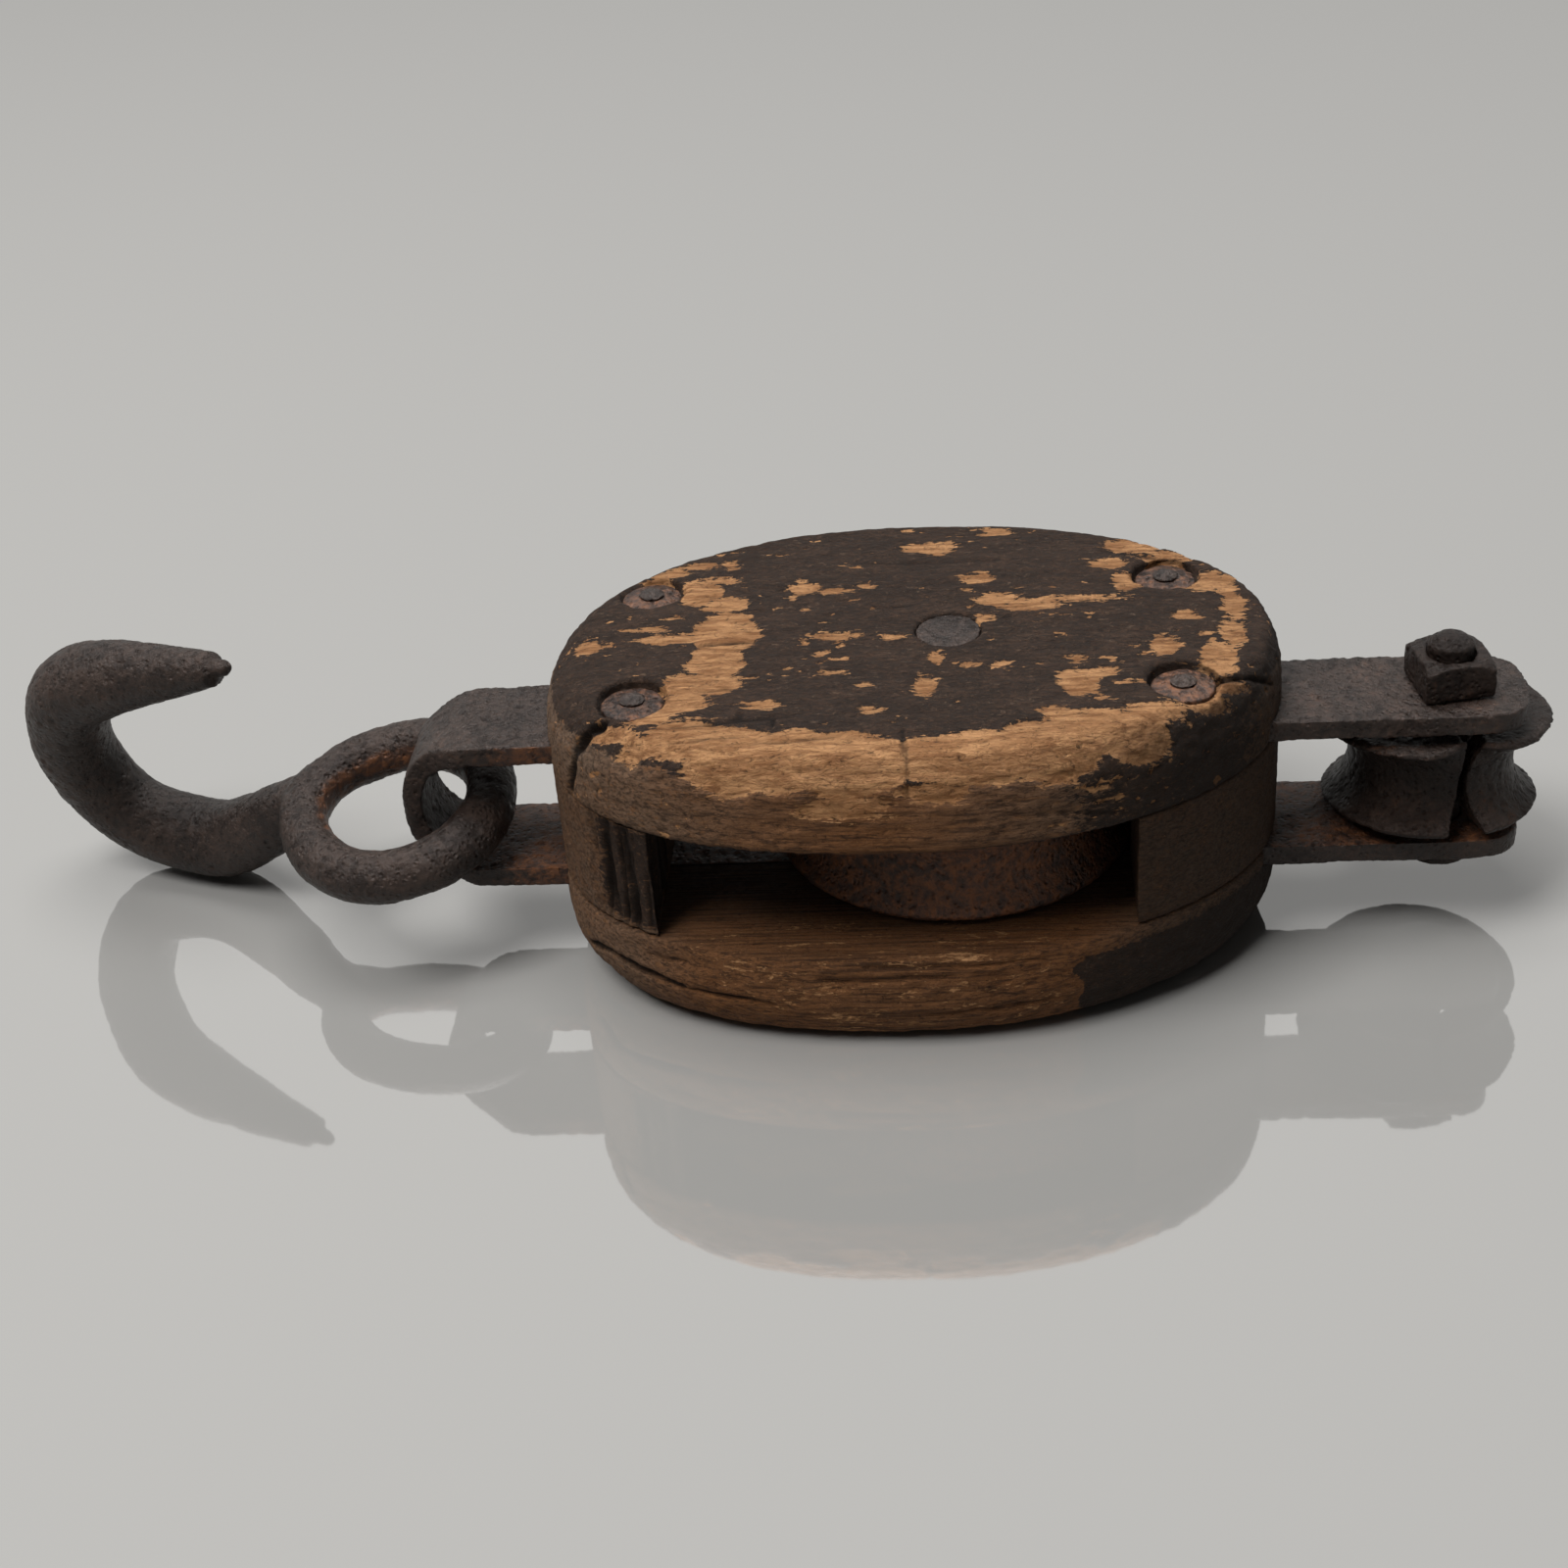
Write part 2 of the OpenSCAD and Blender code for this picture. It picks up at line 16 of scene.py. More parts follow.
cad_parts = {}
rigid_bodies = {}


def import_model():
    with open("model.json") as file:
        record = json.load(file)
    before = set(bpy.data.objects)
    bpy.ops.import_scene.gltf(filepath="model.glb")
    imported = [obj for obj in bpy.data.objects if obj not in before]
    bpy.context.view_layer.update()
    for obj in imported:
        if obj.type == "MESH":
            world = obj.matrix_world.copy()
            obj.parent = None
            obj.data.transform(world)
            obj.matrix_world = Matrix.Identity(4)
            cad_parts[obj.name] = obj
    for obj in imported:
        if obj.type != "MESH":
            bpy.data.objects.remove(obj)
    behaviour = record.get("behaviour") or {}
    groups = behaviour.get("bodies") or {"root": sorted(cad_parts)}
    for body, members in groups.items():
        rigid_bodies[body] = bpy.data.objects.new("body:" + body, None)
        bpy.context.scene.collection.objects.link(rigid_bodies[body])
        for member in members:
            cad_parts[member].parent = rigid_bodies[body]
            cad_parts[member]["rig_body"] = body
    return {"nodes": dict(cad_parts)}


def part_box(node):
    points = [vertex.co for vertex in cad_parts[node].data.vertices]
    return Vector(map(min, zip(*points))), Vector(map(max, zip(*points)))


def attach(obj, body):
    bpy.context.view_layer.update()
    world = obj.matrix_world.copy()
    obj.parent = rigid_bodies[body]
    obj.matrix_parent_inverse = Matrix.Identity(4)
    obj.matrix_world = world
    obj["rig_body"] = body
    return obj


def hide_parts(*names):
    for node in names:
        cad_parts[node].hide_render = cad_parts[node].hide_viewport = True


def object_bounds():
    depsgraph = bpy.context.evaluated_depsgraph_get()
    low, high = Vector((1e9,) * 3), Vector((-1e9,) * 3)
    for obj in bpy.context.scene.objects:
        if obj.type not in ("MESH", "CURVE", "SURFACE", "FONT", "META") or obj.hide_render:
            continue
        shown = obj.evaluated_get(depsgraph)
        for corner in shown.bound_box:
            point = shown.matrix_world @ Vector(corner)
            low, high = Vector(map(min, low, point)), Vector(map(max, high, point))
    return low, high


bl_info = {
    "name": "Wooden Pulley Block",
    "version": (1, 0, 0),
    "blender": (4, 5, 0),
    "location": "3D View > Sidebar > Pulley Block",
    "description": "Dresses the frame of a pulley block in weathered wood and forged iron",
    "category": "Object",
}

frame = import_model()
CAD_LOW, CAD_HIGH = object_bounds()
MM = 0.001
WELD_DISTANCE = 1e-6
RIM_CORNERS = list(itertools.product(("hook_end", "becket_end"), ("front", "back")))


class PulleyBlockWood(bpy.types.PropertyGroup):
    """Sizes and colours of the cheeks and spacers."""
    step: bpy.props.FloatProperty(
        name="Mesh step", description="Spacing of the wood's mesh", default=0.7 * MM, unit="LENGTH")
    grain_depth: bpy.props.FloatProperty(
        name="Grain depth", description="Depth of the weathered grain",
        default=0.22 * MM, unit="LENGTH")
    paint_depth: bpy.props.FloatProperty(
        name="Paint thickness", description="Height of the old paint above bare wood",
        default=0.3 * MM, unit="LENGTH")
    paint: bpy.props.FloatVectorProperty(
        name="Old paint", description="Colour of the dark weathered paint",
        subtype="COLOR", default=(0.024, 0.0150, 0.0108))
    paint_light: bpy.props.FloatVectorProperty(
        name="Rubbed paint", description="Colour of the paint where it is rubbed",
        subtype="COLOR", default=(0.072, 0.042, 0.028))
    bare: bpy.props.FloatVectorProperty(
        name="Bare wood", description="Colour of freshly bared wood",
        subtype="COLOR", default=(0.52, 0.275, 0.125))
    bare_deep: bpy.props.FloatVectorProperty(
        name="Deep bare wood", description="Colour of bare wood in its grain",
        subtype="COLOR", default=(0.24, 0.110, 0.046))
    aged: bpy.props.FloatVectorProperty(
        name="Aged wood", description="Colour of the grey-brown sides",
        subtype="COLOR", default=(0.165, 0.108, 0.072))
    aged_warm: bpy.props.FloatVectorProperty(
        name="Warm aged wood", description="Colour of the rubbed brown sides",
        subtype="COLOR", default=(0.210, 0.088, 0.033))


class PulleyBlockIron(bpy.types.PropertyGroup):
    """Sizes and colours of the iron pieces."""
    step: bpy.props.FloatProperty(
        name="Mesh step", description="Spacing of the iron's mesh",
        default=0.55 * MM, unit="LENGTH")
    forge_depth: bpy.props.FloatProperty(
        name="Forged waviness", description="Height of the hammered unevenness",
        default=0.36 * MM, unit="LENGTH")
    pit_depth: bpy.props.FloatProperty(
        name="Pit depth", description="Depth of the rust pits", default=0.2 * MM, unit="LENGTH")
    iron: bpy.props.FloatVectorProperty(
        name="Dark iron", description="Colour of the dark scaled iron",
        subtype="COLOR", default=(0.013, 0.0078, 0.0060))
    iron_light: bpy.props.FloatVectorProperty(
        name="Rubbed iron", description="Colour of the rubbed iron",
        subtype="COLOR", default=(0.060, 0.038, 0.029))
    rust: bpy.props.FloatVectorProperty(
        name="Rust", description="Colour of the orange rust",
        subtype="COLOR", default=(0.225, 0.085, 0.032))
    rust_deep: bpy.props.FloatVectorProperty(
        name="Deep rust", description="Colour of the red-brown rust",
        subtype="COLOR", default=(0.105, 0.045, 0.026))


class PulleyBlockStage(bpy.types.PropertyGroup):
    """The camera, the lamps and the table."""
    lens: bpy.props.FloatProperty(
        name="Lens", description="Focal length of the camera on a sensor 36 mm wide", default=56.7)
    eye: bpy.props.FloatVectorProperty(
        name="Camera place", description="Where the camera stands",
        subtype="TRANSLATION", default=(0.0130, -0.4404, 0.3180))
    azimuth: bpy.props.FloatProperty(
        name="Azimuth", description="Turn of the camera round the block, in degrees", default=5.24)
    elevation: bpy.props.FloatProperty(
        name="Elevation", description="Height of the camera over the block, in degrees",
        default=32.78)
    roll: bpy.props.FloatProperty(
        name="Roll", description="Roll of the camera about its view, in degrees", default=-4.63)
    table: bpy.props.FloatVectorProperty(
        name="Table", description="Colour of the glossy table",
        subtype="COLOR", default=(0.297, 0.292, 0.279))
    room: bpy.props.FloatVectorProperty(
        name="Room", description="Colour that the table mirrors",
        subtype="COLOR", default=(0.520, 0.515, 0.500))
    gloss: bpy.props.FloatProperty(
        name="Gloss", description="Share of the mirror image in the table's look",
        default=0.34, subtype="FACTOR")


class PulleyBlockSettings(bpy.types.PropertyGroup):
    """All settings of the pulley block."""
    wood: bpy.props.PointerProperty(type=PulleyBlockWood)
    iron: bpy.props.PointerProperty(type=PulleyBlockIron)
    stage: bpy.props.PointerProperty(type=PulleyBlockStage)


# Noise on arrays of points

def lattice_value(cell, seed):
    """A fixed value from 0 to 1 for each whole-numbered cell."""
    x, y, z = (cell[:, k].astype(np.int64) for k in range(3))
    mixed = (x * 73856093) ^ (y * 19349663) ^ (z * 83492791) ^ (seed * 26544357)
    mixed = ((mixed ^ (mixed >> 13)) * 1274126177) & 0xFFFFFFFF
    return ((mixed ^ (mixed >> 15)) & 0xFFFF) / 65535.0


def smooth_noise(points, seed):
    """Noise from -1 to 1 that changes over a distance of 1."""
    cell = np.floor(points)
    share = points - cell
    share = share * share * (3 - 2 * share)
    total = np.zeros(len(points))
    for corner in itertools.product((0, 1), repeat=3):
        weight = np.prod(np.where(corner, share, 1 - share), axis=1)
        total += weight * lattice_value(cell + corner, seed)
    return 2 * total - 1


def layered_noise(points, layers, seed):
    """Layers of noise, each half as large and half as strong as the one before."""
    total = sum(0.5 ** k * smooth_noise(points * 2 ** k, seed + 17 * k) for k in range(layers))
    return total / (2 - 2 * 0.5 ** layers)


def soft_step(value, low, high):
    """0 below low, 1 above high, and a smooth rise between them."""
    share = np.clip((value - low) / (high - low), 0, 1)
    return share * share * (3 - 2 * share)


# Meshes

def fine_mesh(node, step, smoothing):
    """The CAD node's form as an even, slightly softened mesh."""
    cad = frame["nodes"][node]
    source = bmesh.new()
    source.from_mesh(cad.data)
    bmesh.ops.remove_doubles(source, verts=source.verts, dist=WELD_DISTANCE)
    welded = bpy.data.meshes.new(node + "_welded")
    source.to_mesh(welded)
    source.free()
    holder = bpy.data.objects.new(node + "_holder", welded)
    bpy.context.scene.collection.objects.link(holder)
    remesh = holder.modifiers.new("even", "REMESH")
    remesh.mode = "VOXEL"
    remesh.voxel_size = step
    if smoothing:
        soften = holder.modifiers.new("soften", "SMOOTH")
        soften.factor = 0.5
        soften.iterations = smoothing
    graph = bpy.context.evaluated_depsgraph_get()
    mesh = bpy.data.meshes.new_from_object(holder.evaluated_get(graph), depsgraph=graph)
    bpy.data.objects.remove(holder)
    bpy.data.meshes.remove(welded)
    return mesh


def soften_near(mesh, middle, radius, rounds):
    """Rounds off the form within radius of middle, both in millimetres, as hammering would."""
    points, _ = mesh_arrays(mesh)
    away = np.linalg.norm(points - np.array(middle), axis=1)
    weight = 0.5 * (1 - soft_step(away, 0.6 * radius, radius))
    edges = np.empty(len(mesh.edges) * 2, np.int32)
    mesh.edges.foreach_get("vertices", edges)
    first, second = edges.reshape(-1, 2)[weight[edges.reshape(-1, 2)].max(1) > 0].T
    both = np.concatenate((first, second))
    other = np.concatenate((second, first))
    count = np.maximum(np.bincount(both, minlength=len(points)), 1)
    for _ in range(rounds):
        total = [np.bincount(both, points[other, k], len(points)) for k in range(3)]
        mean = np.stack(total, 1) / count[:, None]
        points += weight[:, None] * (mean - points)
    write_points(mesh, points)


def mesh_arrays(mesh):
    """Points in millimetres and their normals."""
    count = len(mesh.vertices)
    points = np.empty(count * 3, np.float32)
    normals = np.empty(count * 3, np.float32)
    mesh.vertices.foreach_get("co", points)
    mesh.vertices.foreach_get("normal", normals)
    return points.reshape(-1, 3).astype(float) / MM, normals.reshape(-1, 3).astype(float)


def write_points(mesh, points):
    """Puts the mesh's points at new places, given in millimetres."""
    mesh.vertices.foreach_set("co", (points * MM).astype(np.float32).ravel())
    mesh.update()


def carve(mesh, points, normals, lift):
    """Moves each point along its normal by lift, in millimetres."""
    write_points(mesh, points + normals * lift[:, None])


def heights(node):
    """The lowest and highest point of a CAD node, in millimetres."""
    low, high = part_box(node)
    return low.z / MM, high.z / MM


def paint_values(mesh, name, values):
    """Stores one value per point, for the materials."""
    layer = mesh.attributes.new(name, "FLOAT", "POINT")
    layer.data.foreach_set("value", values.astype(np.float32))


def place_piece(mesh, node, name, material):
    """Makes the piece that stands for a CAD node, and lets it ride on the node's body."""
    piece = bpy.data.objects.new(name, mesh)
    bpy.context.scene.collection.objects.link(piece)
    mesh.name = name
    mesh.materials.clear()
    mesh.materials.append(material)
    mesh.polygons.foreach_set("use_smooth", [True] * len(mesh.polygons))
    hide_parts(node)
    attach(piece, frame["nodes"][node]["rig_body"])
    return piece


# Material nodes

WOOD_GLOSS = 0.16
IRON_GLOSS = 0.42
IRON_METALLIC = 0.15
# Dark colour toward which the shade setting darkens a whole iron piece, as painted shade
IRON_SHADE_TONE = (0.006, 0.0035, 0.0025)


class Nodes:
    """Builds a node material with short calls."""

    def __init__(self, name):
        self.material = bpy.data.materials.get(name) or bpy.data.materials.new(name)
        self.material.use_nodes = True
        self.tree = self.material.node_tree
        self.tree.nodes.clear()
        self.output = self.tree.nodes.new("ShaderNodeOutputMaterial")
        self.coordinates = self.tree.nodes.new("ShaderNodeTexCoord").outputs["Object"]

    def finish(self, shader):
        """Makes shader the material's surface."""
        self.tree.links.new(shader, self.output.inputs["Surface"])
        return self.material

    def link(self, value, socket):
        """Joins a socket to value, or sets it where value is a number or a colour."""
        if isinstance(value, bpy.types.NodeSocket):
            self.tree.links.new(value, socket)
        elif socket.type == "RGBA":
            socket.default_value = (*value, 1.0)
        else:
            socket.default_value = value

    def node(self, kind, inputs, **settings):
        """A node with its settings and inputs."""
        made = self.tree.nodes.new(kind)
        for key, value in settings.items():
            setattr(made, key, value)
        for key, value in inputs.items():
            self.link(value, made.inputs[key])
        return made

    def scaled(self, per_mm):
        """Object coordinates times per_mm along X, Y and Z."""
        sizes = tuple(k / MM for k in per_mm)
        inputs = {0: self.coordinates, 1: sizes}
        return self.node("ShaderNodeVectorMath", inputs, operation="MULTIPLY").outputs[0]

    def noise(self, per_mm, detail=4.0, rough=0.55, warp=0.0):
        """Layered noise, stretched by its steps per millimetre along X, Y and Z."""
        made = self.node("ShaderNodeTexNoise", {
            "Vector": self.scaled(per_mm), "Scale": 1.0,
            "Detail": detail, "Roughness": rough, "Distortion": warp})
        return made.outputs[0]

    def spots(self, per_mm):
        """Distance to the nearest of many scattered points."""
        made = self.node("ShaderNodeTexVoronoi", {"Vector": self.scaled(per_mm), "Scale": 1.0})
        return made.outputs["Distance"]

    def attribute(self, name):
        """A value that the mesh holds at each point."""
        made = self.tree.nodes.new("ShaderNodeAttribute")
        made.attribute_name = name
        return made.outputs["Fac"]

    def math(self, operation, first, second):
        """A sum, product or other operation on two values."""
        return self.node("ShaderNodeMath", {0: first, 1: second}, operation=operation).outputs[0]

    def offset(self, value, strength):
        """How far a noise lies from its middle, times strength."""
        return self.math("MULTIPLY", self.math("SUBTRACT", value, 0.5), strength)

    def band(self, value, low, high, to_low=0.0, to_high=1.0):
        """A smooth rise from to_low to to_high as value goes from low to high."""
        made = self.node("ShaderNodeMapRange", {
            "Value": value, "From Min": low, "From Max": high, "To Min": to_low, "To Max": to_high},
            interpolation_type="SMOOTHSTEP")
        return made.outputs["Result"]

    def mix(self, share, first, second):
        """The first colour, with a share of the second."""
        made = self.tree.nodes.new("ShaderNodeMix")
        made.data_type = "RGBA"
        self.link(share, made.inputs["Factor"])
        self.link(first, made.inputs["A"])
        self.link(second, made.inputs["B"])
        return made.outputs["Result"]

    def mix_shader(self, share, first, second):
        """The first shader, with a share of the second."""
        return self.node("ShaderNodeMixShader", {0: share, 1: first, 2: second}).outputs[0]

    def bump(self, height, distance_mm, strength, under=None):
        """Fine relief, laid over the normal under where one is given."""
        inputs = {"Height": height, "Distance": distance_mm * MM, "Strength": strength}
        if under is not None:
            inputs["Normal"] = under
        return self.node("ShaderNodeBump", inputs).outputs["Normal"]

    def surface(self, colour, roughness, normal, metallic, specular):
        """The material with its shader, whose even values stand on its own sockets."""
        shader = self.node("ShaderNodeBsdfPrincipled", {
            "Base Color": colour, "Roughness": roughness, "Normal": normal,
            "Metallic": metallic, "Specular IOR Level": specular})
        return self.finish(shader.outputs[0])


def toned(colour, share=1.0):
    """A setting's colour times share, as a plain tuple."""
    return tuple(share * c for c in colour)


def seen_rays(tree):
    """1 for the rays by which the camera, mirrors and glass see a surface, and 0 for light."""
    rays = tree.nodes.new("ShaderNodeLightPath")
    seen = rays.outputs["Is Camera Ray"]
    for kind in ("Is Glossy Ray", "Is Transmission Ray"):
        either = tree.nodes.new("ShaderNodeMath")
        either.operation = "MAXIMUM"
        tree.links.new(seen, either.inputs[0])
        tree.links.new(rays.outputs[kind], either.inputs[1])
        seen = either.outputs[0]
    return seen


def weathered_wood(wood, name, darkness):
    """Wood under old paint, bared in patches, with aged sides. darkness darkens the whole piece, as
    painted shade.
    """
    n = Nodes(name)
    streak = n.noise((0.09, 0.62, 0.62), 6, 0.68, 0.9)
    fine = n.noise((0.45, 2.6, 2.6), 4, 0.65, 0.4)
    crackle = n.noise((0.55, 0.9, 0.9), 6, 0.72, 0.8)
    mottle = n.noise((0.10, 0.22, 0.22), 4, 0.6)
    speck = n.noise((0.7, 1.6, 1.6), 4, 0.65)
    rubbed = n.band(n.math("ADD", speck, n.math("MULTIPLY", mottle, 0.5)), 0.62, 1.05)
    paint = n.mix(rubbed, toned(wood.paint), toned(wood.paint_light))
    paint = n.mix(n.band(crackle, 0.57, 0.68, 0.0, 0.55), paint, toned(wood.aged))
    bare = n.mix(n.band(streak, 0.36, 0.62), toned(wood.bare_deep), toned(wood.bare))
    bare = n.mix(n.band(fine, 0.30, 0.48, 0.45, 0.0), bare, toned(wood.bare_deep))
    bare = n.mix(n.band(mottle, 0.42, 0.66, 0.0, 0.45), bare, toned(wood.aged_warm))
    aged = n.mix(n.attribute("warm"), toned(wood.aged), toned(wood.aged_warm))
    along = n.noise((0.035, 1.5, 1.5), 6, 0.7, 0.3)
    aged = n.mix(n.band(along, 0.38, 0.56, 0.7, 0.0), aged, toned(wood.paint))
    aged = n.mix(n.band(streak, 0.54, 0.66, 0.0, 0.6), aged, toned(wood.bare_deep))
    # The noise in edge makes the borders of the painted, aged and bared places ragged
    edge = n.math("ADD", n.offset(speck, 1.1), n.offset(streak, 1.3))
    side = n.band(n.math("ADD", n.attribute("aged"), edge), 0.42, 0.58)
    bared = n.band(n.math("ADD", n.attribute("bare"), edge), 0.45, 0.55)
    colour = n.mix(side, paint, aged)
    colour = n.mix(bared, colour, bare)
    dirt = n.band(crackle, 0.30, 0.47, 0.75, 0.0)
    crack_darkening = n.band(n.attribute("crack"), 0.0, 1.0, 0.0, 0.92)
    # Dirt, the painted shade held in the mesh, darkening along the cracks, and painted shade over
    # the whole piece, each in a darker tone of the paint
    for share, tone in ((dirt, 0.4), (n.attribute("painted_shade"), 0.5), (crack_darkening, 0.25), (darkness, 0.6)):
        colour = n.mix(share, colour, toned(wood.paint, tone))
    relief = n.bump(fine, 0.6, 0.8)
    relief = n.bump(speck, 0.5, 0.7, relief)
    relief = n.bump(crackle, 1.5, 0.85, relief)
    relief = n.bump(bared, -0.18, 0.8, relief)
    rough = n.band(speck, 0.35, 0.65, 0.66, 0.90)
    return n.surface(colour, rough, relief, metallic=0.0, specular=WOOD_GLOSS)


def forged_iron(iron, name, rust_share, shade=0.0, gloss=IRON_GLOSS):
    """Dark pitted iron with rust in hollows.

    rust_share lifts the rust, shade darkens the whole piece as painted shade, and gloss is its
    sheen.
    """
    n = Nodes(name)
    broad = n.noise((0.07, 0.07, 0.07), 4, 0.6)
    grainy = n.noise((0.55, 0.55, 0.55), 7, 0.7)
    pits = n.spots((0.75, 0.75, 0.75))
    tone = n.math("ADD", n.math("MULTIPLY", grainy, 0.6), n.math("MULTIPLY", broad, 0.4))
    colour = n.mix(n.band(tone, 0.38, 0.64), toned(iron.iron), toned(iron.iron_light))
    rust = n.mix(n.band(grainy, 0.38, 0.62), toned(iron.rust_deep), toned(iron.rust))
    where = n.math("ADD", n.attribute("rust"), n.offset(tone, 1.3))
    where = n.math("ADD", where, rust_share)
    colour = n.mix(n.band(where, 0.35, 0.8, 0.0, 0.9), colour, rust)
    # Painted shade over the whole piece
    colour = n.mix(shade, colour, IRON_SHADE_TONE)
    relief = n.bump(grainy, 0.8, 0.9)
    relief = n.bump(n.band(pits, 0.0, 0.45), 0.45, 0.7, relief)
    rough = n.band(grainy, 0.32, 0.68, 0.28, 0.52)
    return n.surface(colour, rough, relief, metallic=IRON_METALLIC, specular=gloss)


# Places on the iron, in millimetres: the hook's neck, its point, the way it
# points, and its eye
HOOK_NECK = (-134, 8, 28.5)
HOOK_POINT = (-146.3, 3.5, 64.3)
HOOK_AHEAD = (0.90, -0.36, 0.25)
HOOK_EYE_RADIUS = 26
HOOK_EYE_HEIGHT = 30
# How far from the point the nub is shaped, how far it is drawn out, and the share
# by which it narrows
HOOK_POINT_REACH = 9
HOOK_NUB_LENGTH = 1.7
HOOK_NUB_WAIST = 0.42
# The thimble's axis in plan, the turn and half width of its worn split in
# degrees, and how far the corner is worn in
THIMBLE_AXIS = (108.8, 5.6)
THIMBLE_SPLIT_TURN = 13
THIMBLE_WORN_TURN = 17
THIMBLE_WORN_IN = 4.6
# Finer mesh steps of the small iron pieces, in metres
RIVET_STEP = 0.3 * MM
BECKET_STEP = 0.45 * MM

# Wear on the wood. The lengths by which points are divided are millimetres along,
# across and up, over which a noise changes

# Bared patches of the upper cheek, as middle and half sizes in millimetres. The
# second value runs across the top, and on down the sides at the front and back
BARE_PATCHES = [
    (-44, 20, 5, 6), (-37, 14, 4, 3), (-37, 2, 7, 9), (-38, -10, 6, 6), (-41, -18, 8, 4.5),
    (-46, -25, 8, 4), (-51, -29, 5, 2.5), (-48, 0.5, 8, 2), (-53, 5, 3, 1.2),
    (-65.5, -0.5, 3, 3.5), (-58, -33, 5, 2.5), (-53, -38, 3, 5), (-43, -37, 9, 6),
    (-33, -44, 10, 10), (-22, -45, 10, 9), (-10, -47, 12, 9), (-12, -58, 9, 3), (3, -46, 8, 6),
    (6, -55, 6, 3), (14, -46, 11, 8), (27, -44, 10, 9), (36, -38, 9, 6), (44, -41, 7, 6),
    (48, -33, 6, 3), (58, -29, 5, 3), (-22, 20, 3, 3.5), (-15, 18, 3.5, 1.4),
    (-8, 19.5, 1.8, 1.4), (15, 21, 3.2, 2.4), (19, 12, 4, 3), (25, 9, 7, 2.6), (36, 11, 8, 1.2),
    (5, 37, 6, 2.6), (8, 34.5, 3, 1.2), (20, 44, 3, 2.2), (-15, -1, 5, 1.6), (-2, -2, 2.6, 1.2),
    (16, 4, 2.4, 1.4), (-14, -16, 3, 1.2), (-8, -21, 1.6, 1.1), (-28, -27, 4, 1.2),
    (-7, -30.5, 2.4, 1.4), (4, -22, 2, 4.5), (7, -12, 1.4, 2.6), (13, -15, 1.6, 1.1),
    (19, -15, 1.9, 1.3), (34, -13.5, 1.9, 1.3), (34, -22, 4, 5), (39, -19, 3, 2), (52, -9, 3, 4),
    (57, 3, 3, 2), (46, 18, 3, 4.5), (43, 26, 3.5, 2.2), (49, 35, 7, 3.5), (56, 30, 7, 2.2),
    (62, 18, 7, 4.5), (67, 9, 2.6, 8), (66, -4, 2.6, 6), (62, -14, 3.6, 6), (62, -23, 4.5, 3),
    (-52, 30, 5, 3), (-44, 33, 4, 2), (-40, 25, 4, 1.4), (-38, 32, 1.2, 2), (29, -33, 3, 2),
]
# Cracks of the upper cheek: both ends, width and depth, in the same measure
UPPER_CRACKS = [
    (-59, -29.5, -63, -31, 1.2, 2.4), (-63, -31, -66, -36, 1.0, 2.2),
    (-66, -36, -69, -45, 0.5, 1.2), (-48, -33, -20, -31.5, 0.35, 0.7),
    (-32, -29.5, -32.4, -33, 0.35, 0.8), (-26, -30.5, -25.5, -35, 0.35, 0.8),
    (-46, -38, -30, -37, 0.3, 0.5), (-30, -40, -12, -38.5, 0.3, 0.5),
    (-43, -2.5, -31, -1.5, 0.4, 0.7), (-42, -21, -33, -20, 0.3, 0.5),
    (59.5, -22, 66, -20.5, 0.6, 1.5), (66, -20.5, 73, -19, 0.35, 0.9),
    (-0.5, -37, 0.5, -50, 0.4, 0.6), (0.5, -50, 0, -57, 0.3, 0.5),
    (-58, 25.5, -52, 26.5, 0.9, 1.4), (-70, -55, -52, -57, 0.25, 0.4),
    (20, -60, 45, -58, 0.25, 0.4), (40, 33, 62, 27, 0.35, 0.6), (-12, 30, 24, 29, 0.25, 0.4),
    (-8, 9.5, 1.5, 10, 0.3, 0.5), (16, 4, 24, 5, 0.3, 0.5),
]
# Cracks of the lower cheek's front: both ends along the block and above the table
LOWER_CRACKS = [
    (-69, 10, -64, 13, 0.5, 1.2), (-64, 13, -47, 11, 0.5, 1.3), (-47, 11, -28, 10.5, 0.3, 0.8),
    (-72, 6, -60, 4.5, 0.35, 0.8), (-20, 17, 8, 18, 0.25, 0.5), (2, 8, 30, 9, 0.25, 0.5),
    (-10, 20.5, 26, 20, 0.3, 0.5), (-55, 17, -46, 18, 0.3, 0.6),
]

# How far below the top a side begins, in millimetres
EDGE_ROUND = 1.5


def unrolled(points, top):
    """Distance across the top, and on down the sides, so that marks run over the edge."""
    across = points[:, 1]
    return across + np.sign(across) * np.clip(top - EDGE_ROUND - points[:, 2], 0, None)


def patch_margin(along, across, points, seed):
    """How far inside the nearest bared patch a point lies, with ragged edges along the grain."""
    ragged = np.stack([points[:, 0] / 5, points[:, 1] / 1.8, points[:, 2] / 1.8], 1)
    along = along + 2.2 * layered_noise(ragged, 3, seed)
    across = across + 1.3 * layered_noise(ragged + 40.0, 3, seed + 5)
    best = np.full(len(points), -9.0)
    for x, y, half_x, half_y in BARE_PATCHES:
        away = np.hypot((along - x) / half_x, (across - y) / half_y)
        best = np.maximum(best, (1 - away) * min(half_x, half_y))
    return best


def crack_depth(along, across, cracks, points):
    """Depth of the cracks, in millimetres."""
    depth = np.zeros(len(points))
    wander = 0.5 * layered_noise(points / np.array([4.0, 2.0, 2.0]), 2, 71)
    for x0, y0, x1, y1, width, deep in cracks:
        run = np.array([x1 - x0, y1 - y0])
        share = ((along - x0) * run[0] + (across - y0) * run[1]) / (run @ run)
        share = np.clip(share, 0, 1)
        off = np.hypot(along - x0 - share * run[0], across - y0 - share * run[1] + 0.6 * wander)
        taper = 0.45 + 0.55 * np.sqrt(np.clip(4 * share * (1 - share), 0, 1))
        depth = np.maximum(depth, deep * taper * np.exp(-((off / (width * taper + 0.25)) ** 2)))
    return depth


